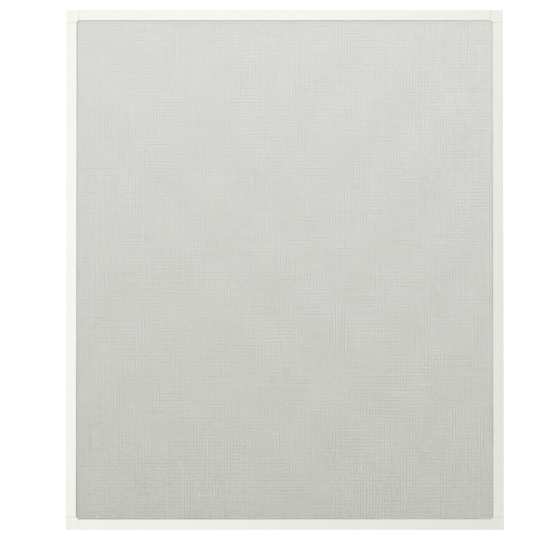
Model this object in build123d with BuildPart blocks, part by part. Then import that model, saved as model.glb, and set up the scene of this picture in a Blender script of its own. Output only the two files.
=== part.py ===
from build123d import *
import os

# Window insect screen: a white extruded frame with moulded corner pieces, a woven net pressed
# into a groove by a ribbed cord, brush seals round the back and four hooks that hang it in a window.
# X is to the right, Z is up and the front faces -Y. The origin is the middle of the screen on the
# back plane of the frame. Every master piece is modelled at the bottom left and mirrored from there.
# In the profile, "in" is the distance inward from the frame's outer edge and "deep" is the distance
# from the back plane towards the front.

os.makedirs("parts", exist_ok=True)

# Whole screen, millimetres
outer_width = 1000.0
outer_height = 1188.0

# Extruded profile
profile_width = 24.0
profile_depth = 10.0
wall = 1.2
front_edge_round = 0.5

# Groove for the net and its cord
groove_width = 4.6
groove_depth = 5.2
lip_wall = 1.2
net_seat_deep = 2.3
barb_height = 0.6
barb_reach = 0.4

# Brush seal and its slot
seal_base_width = 6.0
seal_base_thickness = 0.9
seal_slot_clearance = 0.05
seal_slot_lip = 1.0
seal_pile_width = 2.6
seal_pile_splay = 0.3
seal_pile_height = 3.5
seal_mouth_clearance = 0.3

# Net
net_thickness = 0.3
net_ridge = 0.1
net_columns = 10
net_rows = 12
net_thread_share = 0.24

# Cord in the groove
cord_notches = 12
cord_notch_depth = 0.25
cord_butt_gap = 0.2

# Corner pieces
corner_overrun = 5.0
corner_round = 1.0
corner_edge_round = 0.4
corner_wall = 1.4
corner_skin = 2.4
seam_gap = 0.3
leg_length = 35.0
leg_clearance = 0.3
leg_tip_chamfer = 1.5
leg_rib_length = 1.2
leg_rib_pitch = 7.5
leg_rib_count = 4

# Hooks
hook_from_side = 150.0
hook_width = 22.0
hook_thickness = 1.0
hook_bend_radius = 0.6
hook_lip_space = 14.0
hook_edge_margin = 0.4
hook_end_margin = 1.0
hook_end_chamfer = 2.0
hook_hole_clearance = 0.15

# Screws
screw_spacing = 12.0
screw_diameter = 2.9
screw_length = 6.5
screw_head_diameter = 5.6
screw_head_height = 2.0
screw_hole_clearance = 0.05
recess_length = 3.2
recess_width = 0.7
recess_depth = 1.1

# Places in the profile
half_width = outer_width / 2
half_height = outer_height / 2
groove_in = profile_width - lip_wall - groove_width
lip_in = profile_width - lip_wall
seal_slot_width = seal_base_width + 2 * seal_slot_clearance
seal_slot_deep = seal_slot_lip + seal_base_thickness + 2 * seal_slot_clearance
seal_in = wall + seal_slot_width / 2
seal_mouth_width = seal_pile_width + 2 * seal_mouth_clearance
step_in = wall + seal_slot_width + wall
chamber_end_in = groove_in - wall

# Lengths between the corner pieces
corner_size = profile_width + corner_overrun
rail_length = outer_width - 2 * (corner_size + seam_gap)
stile_length = outer_height - 2 * (corner_size + seam_gap)

# Section planes, each with x inward and y towards the front
rail_start = Plane((-rail_length / 2, 0, -half_height), x_dir=(0, 0, 1), z_dir=(1, 0, 0))
stile_start = Plane((-half_width, 0, stile_length / 2), x_dir=(1, 0, 0), z_dir=(0, 0, -1))

from_corner = (Align.MIN, Align.MIN)


def finish(part, name):
    """Names a finished piece and writes its file."""
    part.label = name
    export_step(part, f"parts/{name}.step")


def mirrored(master, right, top):
    """The piece at another corner or side: the bottom left master, mirrored where asked."""
    if right:
        master = mirror(master, about=Plane.YZ, mode=Mode.PRIVATE)
    if top:
        master = mirror(master, about=Plane.XY, mode=Mode.PRIVATE)
    return master


def area(low_in, high_in, low_deep, high_deep, mode=Mode.ADD):
    """A rectangle in the profile between two distances inward and two depths."""
    with Locations((low_in, low_deep)):
        Rectangle(high_in - low_in, high_deep - low_deep, align=from_corner, mode=mode)


def chamber(shrink=0.0, mode=Mode.ADD):
    """The profile's hollow: shallower under the seal's slot, with every side moved in by shrink."""
    front = profile_depth - wall - shrink
    under_slot = seal_slot_deep + wall + shrink
    with BuildLine() as outline:
        Polyline(
            (wall + shrink, under_slot),
            (step_in + shrink, under_slot),
            (step_in + shrink, wall + shrink),
            (chamber_end_in - shrink, wall + shrink),
            (chamber_end_in - shrink, front),
            (wall + shrink, front),
            close=True,
        )
    make_face(outline.edges(), mode=mode)


def profile():
    """Section of the extrusion: chamber, seal slot, groove with its barb, and the net's lip."""
    area(0, profile_width, 0, profile_depth)
    fillet(vertices().group_by(Axis.Y)[-1], front_edge_round)
    chamber(mode=Mode.SUBTRACT)
    mouth = seal_mouth_width / 2
    area(seal_in - mouth, seal_in + mouth, 0, seal_slot_lip, Mode.SUBTRACT)
    area(wall, wall + seal_slot_width, seal_slot_lip, seal_slot_deep, Mode.SUBTRACT)
    area(groove_in, lip_in, 0, groove_depth, Mode.SUBTRACT)
    area(lip_in, profile_width, 0, net_seat_deep, Mode.SUBTRACT)
    with BuildLine() as barb:
        Polyline(
            (groove_in, 0), (groove_in + barb_reach, 0), (groove_in, barb_height), close=True
        )
    make_face(barb.edges())


# Hooks and screws sit on the flat of the profile between the seal's slot and the groove
hook_outer_in = step_in + hook_edge_margin
hook_leg_end_in = groove_in - hook_edge_margin
screw_in = (hook_outer_in + hook_thickness + hook_bend_radius + hook_leg_end_in) / 2
hook_x = -half_width + hook_from_side
screw_z = -half_height + screw_in
screw_places = [(hook_x + side * screw_spacing / 2, screw_z) for side in (-1, 1)]

with BuildPart() as rail:
    with BuildSketch(rail_start):
        profile()
    extrude(amount=rail_length)
    with BuildSketch(Plane.XZ):
        for side in (-1, 1):
            with Locations(*[(side * x, z) for x, z in screw_places]):
                Circle(screw_diameter / 2 + screw_hole_clearance)
    extrude(amount=wall, mode=Mode.SUBTRACT)

with BuildPart() as stile:
    with BuildSketch(stile_start):
        profile()
    extrude(amount=stile_length)

finish(mirrored(rail.part, False, False), "bottom_rail")
finish(mirrored(rail.part, False, True), "top_rail")
finish(mirrored(stile.part, False, False), "left_stile")
finish(mirrored(stile.part, True, False), "right_stile")


# Corner piece: a square block with a bevel across the opening and a ribbed leg into each hollow
corner_back = Plane((-half_width, 0, -half_height), x_dir=(1, 0, 0), z_dir=(0, -1, 0))
rail_leg_root = Plane(
    (-half_width + corner_size, 0, -half_height), x_dir=(0, 0, 1), z_dir=(1, 0, 0)
)
stile_leg_root = Plane(
    (-half_width, 0, -half_height + corner_size), x_dir=(1, 0, 0), z_dir=(0, 0, -1)
)
pocket_end_in = groove_in - corner_wall
pocket_size = (pocket_end_in - 2 * corner_wall) / 2
side_pocket_in = groove_in
side_pocket_length = corner_size - corner_wall - side_pocket_in


def leg(root, direction):
    """One leg: a core that clears the hollow, and ribs that fill it."""
    with BuildSketch(root) as core:
        chamber(leg_clearance)
    extrude(core.sketch, amount=direction * leg_length)
    tip = faces().sort_by(Axis(root.origin, root.z_dir * direction))[-1]
    chamfer(tip.edges(), leg_tip_chamfer)
    for number in range(leg_rib_count):
        with BuildSketch(root.offset(direction * (number + 0.5) * leg_rib_pitch)) as rib:
            chamber()
        extrude(rib.sketch, amount=direction * leg_rib_length)


with BuildPart() as corner:
    with BuildSketch(corner_back):
        with BuildLine():
            Polyline(
                (0, 0),
                (corner_size, 0),
                (corner_size, profile_width),
                (profile_width, corner_size),
                (0, corner_size),
                close=True,
            )
        make_face()
        fillet(vertices().sort_by_distance((0, 0))[0], corner_round)
    extrude(amount=profile_depth)
    fillet(faces().sort_by(Axis.Y)[0].edges(), corner_edge_round)
    with BuildSketch(corner_back):
        area(groove_in, corner_size, groove_in, corner_size)
    extrude(amount=net_seat_deep, mode=Mode.SUBTRACT)
    with BuildSketch(corner_back):
        area(groove_in, corner_size, groove_in, lip_in)
        area(groove_in, lip_in, groove_in, corner_size)
    extrude(amount=groove_depth, mode=Mode.SUBTRACT)
    with BuildSketch(corner_back):
        middle = corner_wall + pocket_size + corner_wall / 2
        with Locations((middle, middle)):
            with GridLocations(pocket_size + corner_wall, pocket_size + corner_wall, 2, 2):
                Rectangle(pocket_size, pocket_size)
        far = side_pocket_in + side_pocket_length
        area(side_pocket_in, far, corner_wall, pocket_end_in)
        area(corner_wall, pocket_end_in, side_pocket_in, far)
    extrude(amount=profile_depth - corner_skin, mode=Mode.SUBTRACT)
    leg(rail_leg_root, 1)
    leg(stile_leg_root, -1)

# Net: one thin wall with a hem that lines the groove, upright ridges in front and level ridges behind
net_width = outer_width - 2 * profile_width
net_height = outer_height - 2 * profile_width
net_pitch_x = net_width / net_columns
net_pitch_z = net_height / net_rows
gap_width = net_pitch_x * (1 - net_thread_share)
gap_height = net_pitch_z * (1 - net_thread_share)
net_back_deep = net_seat_deep - net_thickness


def frame_rectangle(distance_in, mode=Mode.ADD):
    """A rectangle as large as the screen, less a distance inward on all four sides."""
    Rectangle(outer_width - 2 * distance_in, outer_height - 2 * distance_in, mode=mode)


with BuildPart() as net:
    with BuildSketch(Plane.XZ.offset(barb_height)):
        frame_rectangle(groove_in)
        frame_rectangle(lip_in, Mode.SUBTRACT)
    extrude(amount=groove_depth - barb_height)
    with BuildSketch(Plane.XZ.offset(barb_height)):
        frame_rectangle(groove_in + net_thickness)
        frame_rectangle(lip_in - net_thickness, Mode.SUBTRACT)
    extrude(amount=groove_depth - net_thickness - barb_height, mode=Mode.SUBTRACT)
    with BuildSketch(Plane.XZ.offset(barb_height)):
        frame_rectangle(lip_in - net_thickness)
    extrude(amount=net_back_deep - barb_height, mode=Mode.SUBTRACT)
    with BuildSketch(Plane.XZ.offset(net_back_deep)):
        frame_rectangle(lip_in - net_thickness)
        with GridLocations(0, net_pitch_z, 1, net_rows):
            Rectangle(net_width - net_pitch_x + gap_width, gap_height, mode=Mode.SUBTRACT)
    extrude(amount=net_ridge)
    with BuildSketch(Plane.XZ.offset(net_back_deep + net_ridge)):
        frame_rectangle(lip_in - net_thickness)
        with GridLocations(net_pitch_x, net_pitch_z, net_columns, net_rows):
            Rectangle(gap_width, gap_height, mode=Mode.SUBTRACT)
    extrude(amount=net_thickness - 2 * net_ridge)
    with BuildSketch(Plane.XZ.offset(net_seat_deep - net_ridge)):
        frame_rectangle(lip_in - net_thickness)
        with GridLocations(net_pitch_x, 0, net_columns, 1):
            Rectangle(gap_width, net_height - net_pitch_z + gap_height, mode=Mode.SUBTRACT)
    extrude(amount=net_ridge)

finish(net.part, "insect_net")

# Cord that presses the hem into the groove: full length along the rails, cut to fit between them
cord_radius = groove_width / 2 - net_thickness
cord_in = groove_in + groove_width / 2
cord_deep = groove_depth - net_thickness - cord_radius
rail_cord_length = outer_width - 2 * (groove_in + net_thickness)
stile_cord_length = outer_height - 2 * (cord_in + cord_radius + cord_butt_gap)


def cord_section():
    """A round cord with small square notches, point inwards, along it."""
    with Locations((cord_in, cord_deep)):
        Circle(cord_radius)
        with PolarLocations(cord_radius, cord_notches, start_angle=180 / cord_notches):
            RegularPolygon(cord_notch_depth, 4, mode=Mode.SUBTRACT)


with BuildPart() as rail_cord:
    with BuildSketch(rail_start.offset((rail_length - rail_cord_length) / 2)):
        cord_section()
    extrude(amount=rail_cord_length)

with BuildPart() as stile_cord:
    with BuildSketch(stile_start.offset((stile_length - stile_cord_length) / 2)):
        cord_section()
    extrude(amount=stile_cord_length)

finish(mirrored(rail_cord.part, False, False), "bottom_cord")
finish(mirrored(rail_cord.part, False, True), "top_cord")
finish(mirrored(stile_cord.part, False, False), "left_cord")
finish(mirrored(stile_cord.part, True, False), "right_cord")

# Brush seal: a stiff backing in the slot and a pile that spreads towards its tips


def seal_section():
    """The backing between the slot's lips and floor, and the pile standing out of the mouth."""
    backing_deep = seal_slot_lip + seal_slot_clearance
    area(
        wall + seal_slot_clearance,
        wall + seal_slot_clearance + seal_base_width,
        backing_deep,
        backing_deep + seal_base_thickness,
    )
    root = seal_pile_width / 2
    tip = root + seal_pile_splay
    with BuildLine() as pile:
        Polyline(
            (seal_in - root, backing_deep),
            (seal_in - root, 0),
            (seal_in - tip, -seal_pile_height),
            (seal_in + tip, -seal_pile_height),
            (seal_in + root, 0),
            (seal_in + root, backing_deep),
            close=True,
        )
    make_face(pile.edges())


with BuildPart() as rail_seal:
    with BuildSketch(rail_start):
        seal_section()
    extrude(amount=rail_length)

with BuildPart() as stile_seal:
    with BuildSketch(stile_start):
        seal_section()
    extrude(amount=stile_length)

finish(mirrored(rail_seal.part, False, False), "bottom_brush_seal")
finish(mirrored(rail_seal.part, False, True), "top_brush_seal")
finish(mirrored(stile_seal.part, False, False), "left_brush_seal")
finish(mirrored(stile_seal.part, True, False), "right_brush_seal")

# Hook: a strip bent to a Z, with its inner leg screwed to the rail and its outer leg behind the lip
hook_section_plane = rail_start.offset(hook_x - hook_width / 2 + rail_length / 2)
hook_middle_in = hook_outer_in + hook_thickness / 2

with BuildPart() as hook:
    with BuildSketch(hook_section_plane):
        with BuildLine():
            FilletPolyline(
                (hook_leg_end_in, -hook_thickness / 2),
                (hook_middle_in, -hook_thickness / 2),
                (hook_middle_in, -hook_lip_space - hook_thickness / 2),
                (hook_end_margin, -hook_lip_space - hook_thickness / 2),
                radius=hook_bend_radius + hook_thickness / 2,
            )
        trace(line_width=hook_thickness)
    extrude(amount=hook_width)
    ends = edges().filter_by(Axis.Y).group_by(Axis.Z)
    chamfer(ends[0] + ends[-1], hook_end_chamfer)
    with BuildSketch(Plane.XZ.offset(-hook_thickness)):
        with Locations(*screw_places):
            Circle(screw_diameter / 2 + hook_hole_clearance)
    extrude(amount=hook_thickness, mode=Mode.SUBTRACT)

# Cross recessed screw, turned about Y with the underside of its head at the origin
head_radius = screw_head_diameter / 2
shank_radius = screw_diameter / 2

with BuildPart() as screw:
    with BuildSketch(Plane.XY):
        with BuildLine():
            Polyline(
                (0, screw_head_height),
                (head_radius, screw_head_height),
                (head_radius, 0),
                (shank_radius, 0),
                (shank_radius, -screw_length),
                (0, -screw_length),
                close=True,
            )
        make_face()
    revolve(axis=Axis.Y)
    with BuildSketch(Plane.XZ.offset(-screw_head_height)):
        Rectangle(recess_length, recess_width)
        Rectangle(recess_width, recess_length)
    extrude(amount=recess_depth, mode=Mode.SUBTRACT)

with BuildPart() as screws:
    with Locations(*[(x, hook_thickness, z) for x, z in screw_places]):
        add(screw.part)

for height in ("bottom", "top"):
    for side in ("left", "right"):
        right = side == "right"
        top = height == "top"
        finish(mirrored(corner.part, right, top), f"{height}_{side}_corner")
        finish(mirrored(hook.part, right, top), f"{height}_{side}_hook")
        finish(mirrored(screws.part, right, top), f"{height}_{side}_hook_screws")
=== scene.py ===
# %% [markdown]
# # A window insect screen
#
# The real object hangs in a window: four white powder coated aluminium rails, four moulded corner
# pieces, a dark net that a rubber cord presses into a groove, and on the back a brush seal and four
# bent steel hooks. The rigid parts come from the CAD model and get only a finish here. The net, the
# cord and the brush are far too fine for plain solids, so this lesson makes them thread by thread,
# and it gives the screws their domes and threads. X is to the right, Z is up, the front faces -Y,
# and every length is in metres.

# %% Load the fixed frame
import math

import bpy
import numpy as np
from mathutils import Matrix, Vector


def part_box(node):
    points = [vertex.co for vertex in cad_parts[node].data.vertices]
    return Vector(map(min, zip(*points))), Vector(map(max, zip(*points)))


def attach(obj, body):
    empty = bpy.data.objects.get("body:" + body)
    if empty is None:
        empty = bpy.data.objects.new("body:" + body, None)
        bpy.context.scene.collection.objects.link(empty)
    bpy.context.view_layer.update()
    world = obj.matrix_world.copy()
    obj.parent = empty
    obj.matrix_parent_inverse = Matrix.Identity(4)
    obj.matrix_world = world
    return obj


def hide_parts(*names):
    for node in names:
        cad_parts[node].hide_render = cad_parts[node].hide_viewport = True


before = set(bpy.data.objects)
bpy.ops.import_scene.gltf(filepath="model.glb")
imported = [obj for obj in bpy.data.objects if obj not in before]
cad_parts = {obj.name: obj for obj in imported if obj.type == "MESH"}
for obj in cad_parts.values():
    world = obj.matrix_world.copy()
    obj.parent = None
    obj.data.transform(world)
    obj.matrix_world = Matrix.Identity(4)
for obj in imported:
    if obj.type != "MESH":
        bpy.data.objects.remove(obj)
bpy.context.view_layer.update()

MM = 0.001

# %% [markdown]
# ## Camera
#
# The photograph is square and almost straight on. The frame's four corners are in it, and its sides
# lean by less than a pixel, so the camera stood three metres off, a little to the left of the
# middle, and looked up by half a degree. A longer lens from further back would flatten the frame's
# inner edges, which show as thin dark lines, so the distance matters more than it seems to.

# %% Camera
LOOKS_UP = 0.456
camera_data = bpy.data.cameras.new("camera")
camera_data.sensor_width = 36.0
camera_data.lens = 87.56
camera = bpy.data.objects.new("camera", camera_data)
camera.location = (-0.0335, -3.010, -0.025)
camera.rotation_euler = (math.radians(90.0 + LOOKS_UP), 0.0, 0.0)
bpy.context.scene.collection.objects.link(camera)
bpy.context.scene.camera = camera
bpy.context.scene.view_settings.view_transform = "Standard"
print("camera at", tuple(camera.location))

# %% [markdown]
# ## Light
#
# White things need a light that is soft and not too strong, or they clip to a blank shape. One big
# lamp in front and to the left gives the slow fall-off towards the right, and a small one near the
# top keeps the upper corners lighter than the lower ones. The world gives a dim, slightly warm light
# from everywhere, so that surfaces which face away from the lamps, like the inner edges, go darker.
# A lamp behind is only for views of the back.

# %% Soft lamps
def soft_lamp(name, place, aim, size, watts):
    """A square area lamp that points from one place at another."""
    data = bpy.data.lights.new(name, "AREA")
    data.size = size
    data.energy = watts
    lamp = bpy.data.objects.new(name, data)
    lamp.location = place
    direction = np.subtract(aim, place)
    flat = math.hypot(direction[0], direction[1])
    lamp.rotation_euler = (
        math.pi / 2 + math.atan2(direction[2], flat),
        0.0,
        math.atan2(-direction[0], direction[1]),
    )
    lamp.visible_camera = False
    bpy.context.scene.collection.objects.link(lamp)


soft_lamp("key_lamp", place=(-1.25, -3.40, -0.05), aim=(0.0, 0.0, 0.0), size=2.2, watts=63.0)
soft_lamp("top_lamp", place=(0.20, -1.16, 1.41), aim=(0.0, 0.0, 0.3), size=1.0, watts=5.6)
soft_lamp("back_lamp", place=(0.9, 3.2, 1.1), aim=(0.0, 0.0, 0.0), size=1.8, watts=50.0)

# %% [markdown]
# ## World
#
# The background has to be white for the camera without lighting the object as strongly as white
# would. Light Path tells which rays ask: camera, glossy and transmission rays see white, and all
# others see a dim grey. The white grows a little towards the sky, as a lit studio wall does, which
# shows only through the net. Two small helpers make the Math and Map Range nodes here and later.

# %% Math and Map Range helpers
def math_node(tree, operation, first, second):
    """A Math node whose two inputs are sockets or numbers."""
    node = tree.nodes.new("ShaderNodeMath")
    node.operation = operation
    for socket, value in zip(node.inputs, (first, second)):
        if isinstance(value, (int, float)):
            socket.default_value = value
        else:
            tree.links.new(value, socket)
    return node.outputs[0]


def mapped_node(tree, value, source, target):
    """A Map Range node that takes a socket's value from one range to another."""
    node = tree.nodes.new("ShaderNodeMapRange")
    labels = ("From Min", "From Max", "To Min", "To Max")
    for label, number in zip(labels, (*source, *target)):
        node.inputs[label].default_value = number
    tree.links.new(value, node.inputs["Value"])
    return node


print("helpers", math_node.__name__, mapped_node.__name__)

# %% World nodes
WALL_HEIGHTS = (-0.18, 0.20)
WALL_LEVELS = (1.01, 1.14)
ROOM_LEVEL = 0.40
world = bpy.data.worlds.new("studio")
bpy.context.scene.world = world
world.use_nodes = True
world_tree = world.node_tree
world_tree.nodes.clear()
direction = world_tree.nodes.new("ShaderNodeTexCoord")
direction_parts = world_tree.nodes.new("ShaderNodeSeparateXYZ")
world_tree.links.new(direction.outputs["Generated"], direction_parts.inputs[0])
wall_level = mapped_node(world_tree, direction_parts.outputs["Z"], WALL_HEIGHTS, WALL_LEVELS)
seen_wall = world_tree.nodes.new("ShaderNodeBackground")
seen_wall.inputs["Color"].default_value = (1.035, 1.04, 1.0, 1.0)
world_tree.links.new(wall_level.outputs["Result"], seen_wall.inputs["Strength"])
room_light = world_tree.nodes.new("ShaderNodeBackground")
room_light.inputs["Color"].default_value = (1.0, 0.99, 0.95, 1.0)
room_light.inputs["Strength"].default_value = ROOM_LEVEL
ray = world_tree.nodes.new("ShaderNodeLightPath").outputs
sees_white = math_node(world_tree, "MAXIMUM", ray["Is Camera Ray"], ray["Is Glossy Ray"])
sees_white = math_node(world_tree, "MAXIMUM", sees_white, ray["Is Transmission Ray"])
choose = world_tree.nodes.new("ShaderNodeMixShader")
world_tree.links.new(sees_white, choose.inputs["Fac"])
world_tree.links.new(room_light.outputs[0], choose.inputs[1])
world_tree.links.new(seen_wall.outputs[0], choose.inputs[2])
world_out = world_tree.nodes.new("ShaderNodeOutputWorld")
world_tree.links.new(choose.outputs[0], world_out.inputs["Surface"])
print("world light", ROOM_LEVEL)

# %% [markdown]
# ## Effects that several finishes share
#
# Powder coat, plastic and zinc plate all have a fine grain; yarn, rubber, bristles and brushed steel
# all have streaks along them; and everything that hangs in a window drifts in tone and takes some
# dust. Each of these is a node group that is built once, with its size or amount as an input, and
# that gives out only colours, values and masks. The shaders stay in the materials.

# %% Group helpers
def new_group(name, inputs, outputs):
    """An empty shader node group with named sockets, and its two end nodes."""
    group = bpy.data.node_groups.new(name, "ShaderNodeTree")
    for label, kind, value in inputs:
        socket = group.interface.new_socket(label, in_out="INPUT", socket_type=kind)
        if value is not None:
            socket.default_value = value
    for label, kind in outputs:
        group.interface.new_socket(label, in_out="OUTPUT", socket_type=kind)
    return group, group.nodes.new("NodeGroupInput"), group.nodes.new("NodeGroupOutput")


def noise_node(tree, coordinates, detail):
    """A Noise Texture of unit scale, so that the coordinates alone set its size."""
    node = tree.nodes.new("ShaderNodeTexNoise")
    node.inputs["Scale"].default_value = 1.0
    node.inputs["Detail"].default_value = detail
    tree.links.new(coordinates, node.inputs["Vector"])
    return node.outputs["Fac"]


def divided(tree, coordinates, size):
    """Coordinates counted in units of size instead of metres."""
    node = tree.nodes.new("ShaderNodeVectorMath")
    node.operation = "SCALE"
    tree.links.new(coordinates, node.inputs[0])
    tree.links.new(math_node(tree, "DIVIDE", 1.0, size), node.inputs["Scale"])
    return node.outputs[0]


print("helpers", new_group.__name__, noise_node.__name__, divided.__name__)

# %% Fine grain
fine_grain, ends_in, ends_out = new_group(
    "fine_grain",
    [("Coordinates", "NodeSocketVector", None), ("Grain Size", "NodeSocketFloat", 0.001)],
    [("Height", "NodeSocketFloat")],
)
grain_place = divided(fine_grain, ends_in.outputs["Coordinates"], ends_in.outputs["Grain Size"])
fine_grain.links.new(noise_node(fine_grain, grain_place, detail=2.0), ends_out.inputs["Height"])
print("group", fine_grain.name)

# %% Streaks along one direction
streaks, ends_in, ends_out = new_group(
    "streaks",
    [
        ("Coordinates", "NodeSocketVector", None),
        ("Stretch", "NodeSocketVector", (1.0, 1.0, 1.0)),
        ("Streak Width", "NodeSocketFloat", 0.0005),
    ],
    [("Height", "NodeSocketFloat")],
)
stretched = streaks.nodes.new("ShaderNodeVectorMath")
stretched.operation = "MULTIPLY"
streaks.links.new(ends_in.outputs["Coordinates"], stretched.inputs[0])
streaks.links.new(ends_in.outputs["Stretch"], stretched.inputs[1])
streak_place = divided(streaks, stretched.outputs[0], ends_in.outputs["Streak Width"])
streaks.links.new(noise_node(streaks, streak_place, detail=3.0), ends_out.inputs["Height"])
print("group", streaks.name)

# %% Slow drift between two colours
tone_drift, ends_in, ends_out = new_group(
    "tone_drift",
    [
        ("Coordinates", "NodeSocketVector", None),
        ("Patch Size", "NodeSocketFloat", 0.1),
        ("Dark Colour", "NodeSocketColor", (0.5, 0.5, 0.5, 1.0)),
        ("Light Colour", "NodeSocketColor", (0.6, 0.6, 0.6, 1.0)),
    ],
    [("Colour", "NodeSocketColor")],
)
drift_place = divided(tone_drift, ends_in.outputs["Coordinates"], ends_in.outputs["Patch Size"])
drift_mix = tone_drift.nodes.new("ShaderNodeMix")
drift_mix.data_type = "RGBA"
tone_drift.links.new(noise_node(tone_drift, drift_place, detail=1.0), drift_mix.inputs["Factor"])
tone_drift.links.new(ends_in.outputs["Dark Colour"], drift_mix.inputs["A"])
tone_drift.links.new(ends_in.outputs["Light Colour"], drift_mix.inputs["B"])
tone_drift.links.new(drift_mix.outputs["Result"], ends_out.inputs["Colour"])
print("group", tone_drift.name)

# %% Dust that settles on what faces up
DUST_PATCH = 0.004
dust_film, ends_in, ends_out = new_group(
    "dust_film",
    [("Coordinates", "NodeSocketVector", None), ("Amount", "NodeSocketFloat", 0.3)],
    [("Mask", "NodeSocketFloat")],
)
facing = dust_film.nodes.new("ShaderNodeNewGeometry")
facing_parts = dust_film.nodes.new("ShaderNodeSeparateXYZ")
dust_film.links.new(facing.outputs["Normal"], facing_parts.inputs[0])
upward = math_node(dust_film, "MAXIMUM", facing_parts.outputs["Z"], 0.0)
dust_place = divided(dust_film, ends_in.outputs["Coordinates"], DUST_PATCH)
patchy = math_node(dust_film, "MULTIPLY", upward, noise_node(dust_film, dust_place, detail=3.0))
dust_mask = math_node(dust_film, "MULTIPLY", patchy, ends_in.outputs["Amount"])
dust_film.links.new(dust_mask, ends_out.inputs["Mask"])
print("group", dust_film.name)

# %% [markdown]
# ## Finishes
#
# Every finish on the screen is one material of the same build: a Principled shader whose colour
# comes from the drift group with dust over it, and whose roughness and bump come from grain or
# streaks. A small class keeps the node tree, so that each finish reads as a short recipe.

# %% Finish builder
DUST_COLOUR = (0.46, 0.44, 0.40, 1.0)
USUAL_NOISE = (0.3, 0.7)
# How fast the painted top light on the net grows with height.
PAINTED_LIGHT_POWER = 0.75


class Finish:
    """A material under construction, with object coordinates in metres."""

    def __init__(self, name):
        self.material = bpy.data.materials.new(name)
        self.material.use_nodes = True
        self.tree = self.material.node_tree
        self.shader = self.tree.nodes["Principled BSDF"]
        self.place = self.tree.nodes.new("ShaderNodeTexCoord").outputs["Object"]

    def group(self, group, **values):
        """Places a shared group, with its inputs by name."""
        node = self.tree.nodes.new("ShaderNodeGroup")
        node.node_tree = group
        self.tree.links.new(self.place, node.inputs["Coordinates"])
        for label, value in values.items():
            node.inputs[label.replace("_", " ")].default_value = value
        return node.outputs[0]

    def drift(self, dark, light, patch):
        """A colour that drifts between two, in patches of this size."""
        return self.group(
            tone_drift, Patch_Size=patch, Dark_Colour=(*dark, 1.0), Light_Colour=(*light, 1.0)
        )

    def blended(self, first, second, factor):
        """A mix of two colours."""
        mix = self.tree.nodes.new("ShaderNodeMix")
        mix.data_type = "RGBA"
        for label, value in (("A", first), ("B", second), ("Factor", factor)):
            if isinstance(value, tuple):
                mix.inputs[label].default_value = value
            else:
                self.tree.links.new(value, mix.inputs[label])
        return mix.outputs["Result"]

    def painted_light_share(self, low, high):
        """Share of painted top light: 0 at the height low and 1 at the height high, rising faster
        below.
        """
        parts = self.tree.nodes.new("ShaderNodeSeparateXYZ")
        self.tree.links.new(self.place, parts.inputs[0])
        above = math_node(self.tree, "SUBTRACT", parts.outputs["Z"], low)
        share = math_node(self.tree, "DIVIDE", above, high - low)
        share = math_node(self.tree, "MAXIMUM", share, 0.0)
        return math_node(self.tree, "POWER", share, PAINTED_LIGHT_POWER)

    def dusted(self, colour, dust):
        """Base colour with dust over it."""
        mask = self.group(dust_film, Amount=dust)
        covered = self.blended(colour, DUST_COLOUR, mask)
        self.tree.links.new(covered, self.shader.inputs["Base Color"])

    def colour(self, dark, light, patch, dust):
        """Base colour: a drift between two colours, under dust."""
        self.dusted(self.drift(dark, light, patch), dust)

    def roughness(self, height, smooth, rough):
        """Roughness between two values, as a height says."""
        spread = mapped_node(self.tree, height, USUAL_NOISE, (smooth, rough))
        self.tree.links.new(spread.outputs["Result"], self.shader.inputs["Roughness"])

    def bump(self, height, depth, strength):
        """Bump of a real depth in metres."""
        node = self.tree.nodes.new("ShaderNodeBump")
        node.inputs["Strength"].default_value = strength
        node.inputs["Distance"].default_value = depth
        self.tree.links.new(height, node.inputs["Height"])
        self.tree.links.new(node.outputs["Normal"], self.shader.inputs["Normal"])

    def constant(self, label, value):
        """A number that is the same all over, set on the shader itself."""
        self.shader.inputs[label].default_value = value


print("shared groups", [group.name for group in bpy.data.node_groups])

# %% [markdown]
# ### Powder coat and plastic
#
# Powder is blown on dry and baked, so it melts to a skin with soft waves a millimetre or two wide,
# like orange peel. The corner pieces are moulded and a touch creamier, with the much finer texture
# of the mould. The two whites are close, and that small difference is what tells metal from plastic.

# %% Powder coated aluminium
powder = Finish("frame_powder_coat")
powder.colour((0.868, 0.873, 0.838), (0.892, 0.896, 0.866), patch=0.25, dust=0.10)
peel = powder.group(fine_grain, Grain_Size=0.0016)
powder.roughness(peel, smooth=0.40, rough=0.50)
powder.bump(peel, depth=0.00004, strength=0.35)
print("finish", powder.material.name)

# %% Moulded plastic
plastic = Finish("corner_plastic")
plastic.colour((0.874, 0.878, 0.818), (0.898, 0.902, 0.846), patch=0.03, dust=0.10)
mould_texture = plastic.group(fine_grain, Grain_Size=0.00035)
plastic.roughness(mould_texture, smooth=0.42, rough=0.54)
plastic.bump(mould_texture, depth=0.00002, strength=0.5)
print("finish", plastic.material.name)

# %% [markdown]
# ### Yarn, rubber, pile and steel
#
# The net's yarn is glass fibre in a dark vinyl coat: nearly black, faintly shiny. Its colour is
# made paler towards the top of the net. This is painted light, standing for the light from above
# that grazes the upper threads. Rubber is dull and shows the lines of the die that it was pressed
# through. The pile takes its look from thousands of bristles, so its material only varies their
# grey. The hooks are brushed along the strip, and the screws have a bright, finely frosted zinc plate.

# %% Net yarn
YARN_PATCH = 0.020
PAINTED_LIGHT_HEIGHT = 0.56
yarn = Finish("net_yarn")
low_yarn = yarn.drift((0.074, 0.074, 0.044), (0.098, 0.098, 0.060), YARN_PATCH)
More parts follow.
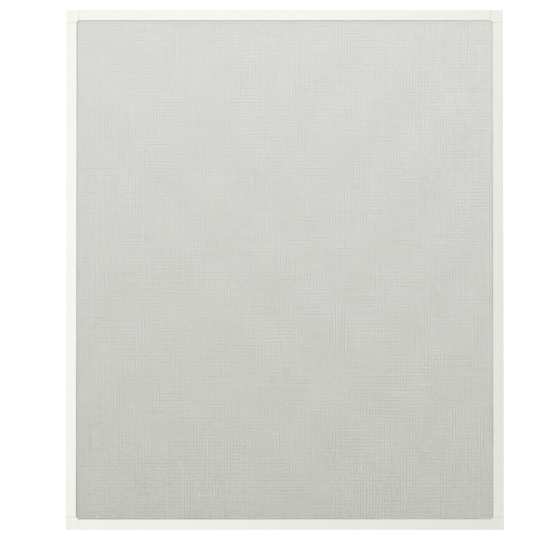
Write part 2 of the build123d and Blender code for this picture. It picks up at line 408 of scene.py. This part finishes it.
# Painted light: this paler grey, blended in more with height, stands for the light from above that
# grazes the top of the net.
painted_lit_yarn = yarn.drift((0.33, 0.33, 0.31), (0.39, 0.39, 0.365), YARN_PATCH)
yarn.dusted(yarn.blended(low_yarn, painted_lit_yarn, yarn.painted_light_share(-PAINTED_LIGHT_HEIGHT, PAINTED_LIGHT_HEIGHT)), dust=0.35)
yarn_twist = yarn.group(streaks, Stretch=(1.0, 1.0, 0.35), Streak_Width=0.00035)
yarn.roughness(yarn_twist, smooth=0.42, rough=0.60)
yarn.bump(yarn_twist, depth=0.00003, strength=0.4)
print("finish", yarn.material.name)

# %% Cord rubber
rubber = Finish("cord_rubber")
rubber.colour((0.030, 0.030, 0.031), (0.055, 0.055, 0.056), patch=0.006, dust=0.45)
die_lines = rubber.group(streaks, Stretch=(0.15, 1.0, 0.15), Streak_Width=0.0003)
rubber.roughness(die_lines, smooth=0.55, rough=0.78)
rubber.bump(die_lines, depth=0.00005, strength=0.5)
print("finish", rubber.material.name)

# %% Brush pile and its backing
pile = Finish("brush_pile")
pile.colour((0.20, 0.205, 0.215), (0.44, 0.445, 0.455), patch=0.0007, dust=0.30)
bristle_lines = pile.group(streaks, Stretch=(1.0, 0.1, 1.0), Streak_Width=0.0002)
pile.roughness(bristle_lines, smooth=0.45, rough=0.65)
pile.bump(bristle_lines, depth=0.00002, strength=0.3)
backing = Finish("brush_backing")
backing.colour((0.30, 0.31, 0.32), (0.36, 0.37, 0.38), patch=0.004, dust=0.2)
backing_weave = backing.group(fine_grain, Grain_Size=0.0003)
backing.roughness(backing_weave, smooth=0.5, rough=0.7)
backing.bump(backing_weave, depth=0.00004, strength=0.6)
print("finishes", pile.material.name, backing.material.name)

# %% Steel
hook_steel = Finish("hook_steel")
hook_steel.colour((0.56, 0.56, 0.55), (0.68, 0.68, 0.67), patch=0.004, dust=0.06)
brushing = hook_steel.group(streaks, Stretch=(1.0, 0.04, 0.04), Streak_Width=0.00012)
hook_steel.roughness(brushing, smooth=0.24, rough=0.42)
hook_steel.bump(brushing, depth=0.000015, strength=0.5)
hook_steel.constant("Metallic", 1.0)
screw_steel = Finish("screw_steel")
screw_steel.colour((0.58, 0.60, 0.62), (0.74, 0.74, 0.72), patch=0.0015, dust=0.06)
frosting = screw_steel.group(fine_grain, Grain_Size=0.0002)
screw_steel.roughness(frosting, smooth=0.22, rough=0.38)
screw_steel.bump(frosting, depth=0.00001, strength=0.5)
screw_steel.constant("Metallic", 1.0)
print("finishes", hook_steel.material.name, screw_steel.material.name)

# %% [markdown]
# ### Finishes on the CAD parts
#
# The rails, corner pieces and hooks have their true shapes already, so each only gets its finish in
# the material slot that it came with.

# %% Dress the rigid parts
finish_of = {
    "rail": powder.material,
    "stile": powder.material,
    "corner": plastic.material,
    "hook": hook_steel.material,
}
dressed = []
for name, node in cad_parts.items():
    kind = name.rsplit("_", 1)[-1]
    if kind in finish_of:
        for slot in node.material_slots:
            slot.material = finish_of[kind]
        dressed.append(name)
print("dressed", len(dressed), "CAD parts")

# %% [markdown]
# ## From points to a piece
#
# NumPy works on all threads at once, where Blender's own tools would make a thousand objects.

# %% Face helpers
def ring_faces(tubes, rings, corners, first=0):
    """Quads that join neighbouring rings of equal corner count, for several tubes in a row."""
    tube = np.arange(tubes)[:, None, None] * rings * corners
    ring = np.arange(rings - 1)[None, :, None] * corners
    corner = np.arange(corners)[None, None, :]
    following = (corner + 1) % corners
    low, high = tube + ring + first, tube + ring + corners + first
    quads = np.stack([low + corner, low + following, high + following, high + corner], -1)
    return quads.reshape(-1, 4)


def cap_faces(rings, corners, first=0):
    """The two faces that close one tube: its first ring turned round, and its last ring."""
    last = first + (rings - 1) * corners
    return [list(range(first, first + corners))[::-1], list(range(last, last + corners))]


print("a square tube of two rings has", len(ring_faces(1, 2, 4)) + len(cap_faces(2, 4)), "faces")

# %% Piece helper
def new_piece(name, points, faces, material, replaced, smooth=True):
    """A mesh object in the shared frame that stands for CAD nodes."""
    mesh = bpy.data.meshes.new(name)
    mesh.from_pydata(np.asarray(points).reshape(-1, 3).tolist(), [], [list(f) for f in faces])
    mesh.polygons.foreach_set("use_smooth", [smooth] * len(mesh.polygons))
    mesh.materials.append(material)
    mesh.update()
    piece = bpy.data.objects.new(name, mesh)
    bpy.context.scene.collection.objects.link(piece)
    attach(piece, "root")
    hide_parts(*replaced)
    return piece


print("solids to dress or replace", len(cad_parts))

# %% [markdown]
# ## Net
#
# The net is woven glass fibre with a thread about every 1.4 by 1.6 mm, and its hem is folded down
# into the groove round the opening. It could be a flat sheet with holes painted on it, but then it
# would have no thickness, no gloss and no hem. Here each thread is its own thin tube with a diamond
# section, soft shaded so that it reads as round, and it follows the same path as the real one: down
# the groove, under the cord, up over the lip and across the opening. Upright threads lie in front
# and level ones behind, each kind in a piece of its own, so that neither mesh gets too heavy.
#
# A net that was rolled into its groove by hand is taut but never dead straight. Slow waves pull
# neighbouring threads aside together, the coat is thicker here and there, and every fifth thread is
# a heavier one. An extra dark thread close to the lip on the right, left and bottom is painted shade:
# it stands for the thin dark line of shadow along the lip's edge. On the left that line is bowed a
# little.

# %% Net sizes
GROOVE_WIDTH = 4.6 * MM
LIP_WIDTH = 1.2 * MM
HEM_CLEARANCE = 0.15 * MM
HEM_END = -0.8 * MM
THREAD_WIDTH = 0.456 * MM
THREAD_THICKNESS = 0.24 * MM
net_low, net_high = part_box("insect_net")
hem_outer = np.array([net_high[0], net_high[2]])
hem_floor = net_low[1] + HEM_CLEARANCE
hem_far = hem_outer - HEM_CLEARANCE
hem_near = hem_outer - GROOVE_WIDTH + HEM_CLEARANCE
opening = hem_outer - GROOVE_WIDTH - LIP_WIDTH
print("opening", opening * 2, "hem floor", hem_floor)


# %% Thread paths
def thread_path(side, plane, steps):
    """(along, depth) points of one thread that ends in the grooves on both sides."""
    start = [
        (-hem_far[side], HEM_END),
        (-hem_far[side], hem_floor),
        (-hem_near[side], hem_floor),
        (-hem_near[side], plane),
        (-opening[side], plane),
    ]
    middle = [(a, plane) for a in np.linspace(-opening[side], opening[side], steps + 1)[1:-1]]
    end = [(-a, y) for a, y in reversed(start)]
    return np.array(start + middle + end)


def path_normals(path):
    """Mitred normals of a path in its own plane."""
    step = np.diff(path, axis=0)
    step /= np.linalg.norm(step, axis=1)[:, None]
    turned = np.column_stack([-step[:, 1], step[:, 0]])
    before = np.vstack([turned[:1], turned])
    after = np.vstack([turned, turned[-1:]])
    return (before + after) / (1.0 + (before * after).sum(axis=1))[:, None]


print("a straight path's normals", path_normals(np.array([(0.0, 0.0), (1.0, 0.0)])).tolist())

# %% Uneven threads
HEAVY_EVERY = 5
HEAVY_EXTRA = (0.28, 0.38)
COAT_SCATTER = 0.045
WANDER = 0.03 * MM
WAVES = 3
WAVE_PULL = 0.6 * MM
FEWEST_WAVES = (2.0, -6.0)
MOST_WAVES = (6.0, 6.0)
HELD_EDGE_POWER = 6
HEM_RINGS = 4


def free_share(place, half):
    """1 in the middle of the opening and 0 at its lip, with a broad middle."""
    return np.clip(1.0 - np.abs(place / half) ** HELD_EDGE_POWER, 0.0, 1.0)


def pulled_aside(across, along, side, rng):
    """How far slow waves pull the threads sideways, in metres. They die out at the lips."""
    pull = np.zeros((len(across), len(along)))
    for _ in range(WAVES):
        per_metre = rng.uniform(FEWEST_WAVES, MOST_WAVES)
        turns = along[None, :] * per_metre[0] + across[:, None] * per_metre[1]
        pull += np.sin(2 * math.pi * turns + rng.uniform(0.0, 2 * math.pi))
    free_across = free_share(across, opening[1 - side])[:, None]
    free_along = free_share(along, opening[side])[None, :]
    return WAVE_PULL * pull * free_across * free_along


def thread_widths(count, rings, rng):
    """Width of each thread at each ring, as a share of the usual one. The hem's ends are even."""
    width = rng.normal(1.0, COAT_SCATTER, (count, rings))
    heavy = width[::HEAVY_EVERY]
    heavy += rng.uniform(*HEAVY_EXTRA, heavy.shape)
    width[:, :HEM_RINGS] = 1.0
    width[:, -HEM_RINGS:] = 1.0
    return width


print("every", HEAVY_EVERY, "threads one is wider by", HEAVY_EXTRA)


# %% Threads side by side
def lay_threads(places, side, plane, steps, bow, rng):
    """Points (thread, ring, corner, [lateral, along, depth]) of threads. The last one is bowed."""
    path = thread_path(side, plane, steps)
    diamond = np.array([(1, 0), (0, 1), (-1, 0), (0, -1)]) * (THREAD_WIDTH / 2, THREAD_THICKNESS / 2)
    width = thread_widths(len(places), len(path), rng)[:, :, None]
    shift = rng.normal(0.0, WANDER, (len(places), len(path)))
    shift[:, :HEM_RINGS] = shift[:, HEM_RINGS : HEM_RINGS + 1]
    shift[:, -HEM_RINGS:] = shift[:, -HEM_RINGS - 1 : -HEM_RINGS]
    shift += pulled_aside(places, path[:, 0], side, rng)
    shift[-1] += bow * np.clip(1.0 - (path[:, 0] / opening[side]) ** 2, 0.0, 1.0)
    lateral = places[:, None, None] + shift[:, :, None] + width * diamond[None, None, :, 0]
    across = diamond[None, :, 1, None] * path_normals(path)[:, None, :]
    flat = np.broadcast_to((path[:, None, :] + across)[None], (*lateral.shape, 2))
    return np.concatenate([lateral[..., None], flat], axis=-1)


def spread(pitch, reach):
    """Places at an even pitch, centred, as far as the reach on both sides."""
    count = int(2 * reach / pitch) + 1
    return (np.arange(count) - (count - 1) / 2) * pitch


print("places at a pitch of 2 within 5", spread(2.0, 5.0).tolist())

# %% Weave the net
WARP_PITCH = 1.411 * MM
WEFT_PITCH = 1.5875 * MM
WARP_PLANE = -2.17 * MM
WEFT_PLANE = -2.09 * MM
WARP_STEPS = 27
WEFT_STEPS = 24
LIP_BARE = 0.5 * MM
# Painted shade: an extra dark thread this far in from the lip on the right, left and bottom stands for
# the line of shadow along the lip; the left one is bowed.
RIGHT_SHADE_THREAD_INSET = 0.85 * MM
LEFT_SHADE_THREAD_INSET = 0.62 * MM
BOTTOM_SHADE_THREAD_INSET = 0.33 * MM
LEFT_SHADE_THREAD_BOW = 0.42 * MM
NET_SEED = 11
net_random = np.random.default_rng(NET_SEED)
reach = opening + LIP_WIDTH - LIP_BARE
# These extra threads near the lips are painted shade for the line of shadow there.
upright_shade_threads = [opening[0] - RIGHT_SHADE_THREAD_INSET, LEFT_SHADE_THREAD_INSET - opening[0]]
level_shade_threads = [BOTTOM_SHADE_THREAD_INSET - opening[1]]
warp_places = np.append(spread(WARP_PITCH, reach[0]), upright_shade_threads)
weft_places = np.append(spread(WEFT_PITCH, reach[1]), level_shade_threads)
warp = lay_threads(warp_places, 1, WARP_PLANE, WARP_STEPS, LEFT_SHADE_THREAD_BOW, net_random)
weft = lay_threads(weft_places, 0, WEFT_PLANE, WEFT_STEPS, 0.0, net_random)
warp_points = warp[..., [0, 2, 1]]
weft_points = weft[..., [1, 2, 0]]
print("threads", len(warp), "upright and", len(weft), "level")

# %% Hem threads that run along the grooves
HEM_THREAD_RINGS = 5
HEM_THREAD_RADIUS = 0.12 * MM
# Distance out from the groove's inner wall and depth, in millimetres
HEM_PLACES = [
    (0.15, -3.6), (1.3, -5.05), (2.4, -5.05), (3.4, -5.05), (4.45, -4.2), (4.45, -2.9), (4.45, -1.5)
]


def hem_thread(side, sign, outward, depth):
    """Rings (ring, corner, [x, y, z]) of one thread along a groove."""
    diamond = np.array([(1, 0), (0, 1), (-1, 0), (0, -1)]) * HEM_THREAD_RADIUS
    end = opening[1 - side]
    rings = np.zeros((HEM_THREAD_RINGS, len(diamond), 3))
    rings[..., 2 * side] = sign * (hem_outer[side] - GROOVE_WIDTH + outward * MM) + diamond[:, 0]
    rings[..., 1] = depth * MM + diamond[:, 1]
    rings[..., 2 - 2 * side] = np.linspace(-end, end, HEM_THREAD_RINGS)[:, None]
    return rings


hem_points = np.array(
    [hem_thread(side, sign, *place) for side in (0, 1) for sign in (-1, 1) for place in HEM_PLACES]
)
print("hem threads", len(hem_points))


def cloth_layer(name, layers):
    """One piece made of all the threads of these layers."""
    points, faces, first = [], [], 0
    for layer in layers:
        tubes, rings, corners = layer.shape[:3]
        points.append(layer.reshape(-1, 3))
        faces.append(ring_faces(tubes, rings, corners, first))
        first += tubes * rings * corners
    piece = new_piece(
        name, np.vstack(points), np.vstack(faces), yarn.material, ["insect_net"]
    )
    print(name, "faces", len(piece.data.polygons))
    return piece


upright = cloth_layer("insect_net_upright_threads", [warp_points])
level = cloth_layer("insect_net_level_threads", [weft_points, hem_points])

# %% [markdown]
# ## Cord
#
# The cord is a soft rubber round with notches along it, pressed in with a small roller, so it never
# lies quite straight: it rises and twists a little where the roller paused. The CAD solid is dead
# straight. This one is a notched ring carried along the groove with a slow, seeded wave.

# %% Pressed cord
CORD_RING = 36
CORD_NOTCHES = 12
NOTCH_SHARE = 0.90
CORD_STEP = 0.012
CORD_KNOTS = 40
CORD_SINK = (-0.05 * MM, 0.12 * MM)
CORD_TWIST = 0.12
CORD_SEED = 21


def along_axis(node):
    """0 for a node that is longest in X and 2 for one that is longest in Z, with its box."""
    low, high = (np.array(corner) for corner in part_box(node))
    return (0 if high[0] - low[0] > high[2] - low[2] else 2), low, high


def pressed_cord(node, seed):
    """A notched cord in the place of a CAD cord, with a slow wave in depth and twist."""
    axis, low, high = along_axis(node)
    middle, radius = (low + high) / 2, (high[1] - low[1]) / 2
    rng = np.random.default_rng(seed)
    along = np.linspace(low[axis], high[axis], int((high[axis] - low[axis]) / CORD_STEP))
    knots = np.linspace(along[0], along[-1], CORD_KNOTS)
    sink = np.interp(along, knots, rng.uniform(*CORD_SINK, CORD_KNOTS))
    twist = np.interp(along, knots, rng.normal(0.0, CORD_TWIST, CORD_KNOTS))
    corner = np.arange(CORD_RING)
    in_notch = corner % (CORD_RING // CORD_NOTCHES) == 0
    ring_radius = radius * np.where(in_notch, NOTCH_SHARE, 1.0)
    angle = (corner * 2 * math.pi / CORD_RING)[None, :] + twist[:, None]
    points = np.zeros((len(along), CORD_RING, 3))
    points[..., axis] = along[:, None]
    points[..., 2 - axis] = middle[2 - axis] + ring_radius * np.cos(angle)
    points[..., 1] = middle[1] - sink[:, None] + ring_radius * np.sin(angle)
    faces = ring_faces(1, len(along), CORD_RING).tolist() + cap_faces(len(along), CORD_RING)
    return new_piece(f"{node}_pressed", points, faces, rubber.material, [node])


SIDES = ("bottom", "top", "left", "right")
for number, side in enumerate(SIDES):
    cord = pressed_cord(f"{side}_cord", CORD_SEED + number)
    print(cord.name, "faces", len(cord.data.polygons))

# %% [markdown]
# ## Brush seal
#
# A brush seal is a row of bristles welded to a stiff strip that slides in a slot. It closes the gap
# to the window. Hair particles would need converting to a mesh at the end anyway, so every bristle
# is made straight away as a three-sided spike with its own lean and length, thousands of them round
# a thin core that stops light from coming through.

# %% Bristles
BRISTLE_PITCH = 0.36 * MM
BRISTLE_ROWS = 6
BRISTLE_RADIUS = 0.13 * MM
BRISTLE_MARGIN = 0.5 * MM
ROOT_SCATTER = (0.08 * MM, 0.06 * MM)
TIP_SCATTER = (0.14 * MM, 0.10 * MM)
SHORTEST_BY = 0.45 * MM
PILE_WIDTH = 2.2 * MM
PILE_SPLAY = 1.22
BACKING_FRONT = -1.95 * MM
BACKING_BACK = -1.05 * MM


def bristles(start, end, tip, rng):
    """Points (bristle, 4, [along, across, depth]): three at the root and one at the tip."""
    columns = int((end - start - 2 * BRISTLE_MARGIN) / BRISTLE_PITCH)
    column_places = start + BRISTLE_MARGIN + (np.arange(columns) + 0.5) * BRISTLE_PITCH
    along = np.repeat(column_places, BRISTLE_ROWS)
    across = np.tile(np.linspace(-0.5, 0.5, BRISTLE_ROWS) * PILE_WIDTH, columns)
    count = len(along)
    along = along + rng.normal(0.0, ROOT_SCATTER[0], count)
    across = across + rng.normal(0.0, ROOT_SCATTER[1], count)
    roots = np.zeros((count, 3, 3))
    turn = rng.uniform(0.0, 2 * math.pi, count)
    for k in range(3):
        roots[:, k, 0] = along + BRISTLE_RADIUS * np.cos(turn + k * 2 * math.pi / 3)
        roots[:, k, 1] = across + BRISTLE_RADIUS * np.sin(turn + k * 2 * math.pi / 3)
        roots[:, k, 2] = BACKING_BACK
    tips = np.zeros((count, 1, 3))
    tips[:, 0, 0] = along + rng.normal(0.0, TIP_SCATTER[0], count)
    tips[:, 0, 1] = across * PILE_SPLAY + rng.normal(0.0, TIP_SCATTER[1], count)
    tips[:, 0, 2] = tip - rng.uniform(0.0, SHORTEST_BY, count)
    return np.concatenate([roots, tips], axis=1)


print("bristles in a metre", int(1 / BRISTLE_PITCH) * BRISTLE_ROWS)

# %% Backing strip and core
BACKING_CUT = 0.25 * MM
CORE_ROOT = 0.7 * MM
CORE_TIP = 0.5 * MM
CORE_BACK = 2.3 * MM
CORE = [
    (-CORE_ROOT, BACKING_BACK), (CORE_ROOT, BACKING_BACK), (CORE_TIP, CORE_BACK), (-CORE_TIP, CORE_BACK)
]


def backing_section(half):
    """Corners (across, depth) of the backing strip, a flat bar with its edges cut off."""
    return [
        (-half + BACKING_CUT, BACKING_FRONT), (half - BACKING_CUT, BACKING_FRONT),
        (half, BACKING_FRONT + BACKING_CUT), (half, BACKING_BACK - BACKING_CUT),
        (half - BACKING_CUT, BACKING_BACK), (-half + BACKING_CUT, BACKING_BACK),
        (-half, BACKING_BACK - BACKING_CUT), (-half, BACKING_FRONT + BACKING_CUT),
    ]


def extruded(section, start, end):
    """Points of a section (across, depth) carried from start to end."""
    return np.array([(along, a, d) for along in (start, end) for a, d in section])


print("core", len(extruded(CORE, 0.0, 1.0)), "points")

# %% Brush seals
SEAL_SEED = 31


def brush_seal(node, seed):
    """Backing strip, core and bristles in the place of a CAD seal."""
    axis, low, high = along_axis(node)
    middle = (low + high) / 2
    start, end = low[axis], high[axis]
    strip = backing_section((high[2 - axis] - low[2 - axis]) / 2)
    hairs = bristles(start, end, high[1], np.random.default_rng(seed))
    parts = [extruded(strip, start, end), extruded(CORE, start, end), hairs.reshape(-1, 3)]
    local = np.vstack(parts)
    points = np.zeros_like(local)
    points[:, axis] = local[:, 0]
    points[:, 2 - axis] = middle[2 - axis] + local[:, 1]
    points[:, 1] = local[:, 2]
    core_first = len(parts[0])
    hair_first = core_first + len(parts[1])
    strip_sides = ring_faces(1, 2, len(strip)).tolist()
    core_sides = ring_faces(1, 2, len(CORE), core_first).tolist()
    strip_ends = cap_faces(2, len(strip))
    core_ends = cap_faces(2, len(CORE), core_first)
    root = hair_first + np.arange(len(hairs))[:, None] * hairs.shape[1]
    spikes = np.concatenate([np.hstack([root + k, root + (k + 1) % 3, root + 3]) for k in range(3)])
    faces = strip_sides + core_sides + strip_ends + core_ends + spikes.tolist()
    seal = new_piece(f"{node}_bristles", points, faces, pile.material, [node], False)
    seal.data.materials.append(backing.material)
    first_end = len(strip_sides) + len(core_sides)
    for number in (*range(len(strip_sides)), first_end, first_end + 1):
        seal.data.polygons[number].material_index = 1
    print(seal.name, len(hairs), "bristles")


for number, side in enumerate(SIDES):
    brush_seal(f"{side}_brush_seal", SEAL_SEED + number)

# %% [markdown]
# ## Screws
#
# The eight screws are cross recessed ones with a domed head and a coarse thread for thin metal. A
# head could be cut with booleans, but a grid of rings that knows its own height is simpler: the dome
# falls towards the rim, and two crossed troughs with sloping walls are taken off it. The thread is
# the same idea: a tube whose radius swells along a helix and shrinks to a point.

# %% Screw head
SCREW_SIDES = 40
HEAD_RADIUS = 2.8 * MM
HEAD_HEIGHT = 2.0 * MM
HEAD_SHARES = (0.02, 0.12, 0.2, 0.28, 0.36, 0.44, 0.52, 0.6, 0.68, 0.78, 0.88, 0.96)
RIM_SHARES = ((1.0, 0.50), (1.0, 0.10), (0.97, 0.0))
DOME_FALL = 0.42
DOME_POWER = 2.6
RECESS_HALF_LENGTH = 1.728 * MM
RECESS_HALF_WIDTH = 0.551 * MM
RECESS_DEPTH = 1.15 * MM
RECESS_END_SLOPE = 0.8 * MM
RECESS_SIDE_SLOPE = 0.342 * MM
corner_angles = np.arange(SCREW_SIDES) * 2 * math.pi / SCREW_SIDES


def recess_depth(x, z):
    """How deep the crossed troughs are at a place on the head."""
    deepest = np.zeros_like(x)
    for along, across in ((x, z), (z, x)):
        side = np.clip((RECESS_HALF_WIDTH - np.abs(across)) / RECESS_SIDE_SLOPE, 0.0, 1.0)
        end = np.clip((RECESS_HALF_LENGTH - np.abs(along)) / RECESS_END_SLOPE, 0.0, 1.0)
        deepest = np.maximum(deepest, RECESS_DEPTH * side * end)
    return deepest


def screw_ring(radius, height):
    """One ring of a screw. Radius and height are one number, or one for each corner."""
    level = np.broadcast_to(height, SCREW_SIDES)
    return np.column_stack([radius * np.cos(corner_angles), level, radius * np.sin(corner_angles)])


def head_rings():
    """Rings from the middle of the head to its underside."""
    rings = []
    for share in HEAD_SHARES:
        radius = share * HEAD_RADIUS
        dome = HEAD_HEIGHT * (1.0 - DOME_FALL * share**DOME_POWER)
        recess = recess_depth(radius * np.cos(corner_angles), radius * np.sin(corner_angles))
        rings.append(screw_ring(radius, dome - recess))
    rings += [screw_ring(out * HEAD_RADIUS, up * HEAD_HEIGHT) for out, up in RIM_SHARES]
    return rings


print("head rings", len(head_rings()))

# %% Screw shank
SHANK_RADIUS = 1.45 * MM
SCREW_LENGTH = 6.5 * MM
SHANK_RINGS = 40
THREAD_LEAD = 1.1 * MM
THREAD_HEIGHT = 0.28 * MM
THREAD_SLOPE = 4.0
POINT_LENGTH = 1.8 * MM
POINT_SHARE = 0.03


def shank_rings():
    """Rings from the head's underside to the point, with a thread round them."""
    rings = []
    for down in np.linspace(0.0, SCREW_LENGTH, SHANK_RINGS):
        phase = (corner_angles / (2 * math.pi) + down / THREAD_LEAD) % 1.0
        crest = THREAD_HEIGHT * np.clip(1.0 - np.abs(phase - 0.5) * THREAD_SLOPE, 0.0, 1.0)
        taper = np.clip((SCREW_LENGTH - down) / POINT_LENGTH, POINT_SHARE, 1.0)
        rings.append(screw_ring((SHANK_RADIUS - THREAD_HEIGHT + crest) * taper, -down))
    return rings


print("shank rings", len(shank_rings()))

# %% Screws in their hooks
SCREW_SEED = 41


def screw_pair(node, seed):
    """Both screws of a hook, each turned to its own angle."""
    low, high = (np.array(corner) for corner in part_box(node))
    rng = np.random.default_rng(seed)
    rings = np.array(head_rings() + shank_rings())
    points, faces = [], []
    for number, x in enumerate((low[0] + HEAD_RADIUS, high[0] - HEAD_RADIUS)):
        angle = rng.uniform(0.0, math.pi)
        turned = rings.copy()
        turned[..., 0] = rings[..., 0] * math.cos(angle) - rings[..., 2] * math.sin(angle)
        turned[..., 2] = rings[..., 0] * math.sin(angle) + rings[..., 2] * math.cos(angle)
        seat = (x, high[1] - HEAD_HEIGHT, (low[2] + high[2]) / 2)
        points.append((turned + seat).reshape(-1, 3))
        first = number * len(points[0])
        faces += ring_faces(1, len(rings), SCREW_SIDES, first).tolist()
        faces += cap_faces(len(rings), SCREW_SIDES, first)
    points = np.vstack(points)
    return new_piece(f"{node}_threaded", points, faces, screw_steel.material, [node])


for number, corner in enumerate(("bottom_left", "bottom_right", "top_left", "top_right")):
    pair = screw_pair(f"{corner}_hook_screws", SCREW_SEED + number)
    print(pair.name, "faces", len(pair.data.polygons))

# %% [markdown]
# ## Floor
#
# The screen hangs, so the floor is a pale round disc well below it, which catches a soft shadow in
# views from above. It thins out towards its rim, so that no hard edge shows against the white. It
# belongs to the stage and not to the object.

# %% Pale floor
FLOOR_LEVEL = -1.0
FLOOR_RADIUS = 1.6
RIM_POINTS = 96
rim = np.arange(RIM_POINTS) * 2 * math.pi / RIM_POINTS
disc = [(0.0, 0.0, FLOOR_LEVEL)]
disc += [(FLOOR_RADIUS * math.cos(t), FLOOR_RADIUS * math.sin(t), FLOOR_LEVEL) for t in rim]
slices = [(0, 1 + k, 1 + (k + 1) % RIM_POINTS) for k in range(RIM_POINTS)]
floor_mesh = bpy.data.meshes.new("floor")
floor_mesh.from_pydata(disc, [], slices)
floor = bpy.data.objects.new("floor", floor_mesh)
bpy.context.scene.collection.objects.link(floor)
print("floor at", FLOOR_LEVEL)

# %% Floor finish
FADE_START = 0.6
pale = Finish("pale_floor")
pale.colour((0.86, 0.86, 0.855), (0.90, 0.90, 0.895), patch=0.6, dust=0.0)
pale_grain = pale.group(fine_grain, Grain_Size=0.02)
pale.roughness(pale_grain, smooth=0.6, rough=0.75)
flat_place = pale.tree.nodes.new("ShaderNodeVectorMath")
flat_place.operation = "MULTIPLY"
flat_place.inputs[1].default_value = (1.0, 1.0, 0.0)
distance = pale.tree.nodes.new("ShaderNodeVectorMath")
distance.operation = "LENGTH"
pale.tree.links.new(pale.place, flat_place.inputs[0])
pale.tree.links.new(flat_place.outputs[0], distance.inputs[0])
fade = mapped_node(pale.tree, distance.outputs["Value"], (FADE_START, FLOOR_RADIUS), (0.0, 1.0))
fade.interpolation_type = "SMOOTHSTEP"
clear = pale.tree.nodes.new("ShaderNodeBsdfTransparent")
blend = pale.tree.nodes.new("ShaderNodeMixShader")
pale.tree.links.new(fade.outputs["Result"], blend.inputs["Fac"])
pale.tree.links.new(pale.shader.outputs[0], blend.inputs[1])
pale.tree.links.new(clear.outputs[0], blend.inputs[2])
pale.tree.links.new(blend.outputs[0], pale.tree.nodes["Material Output"].inputs["Surface"])
floor_mesh.materials.append(pale.material)
print("finish", pale.material.name)
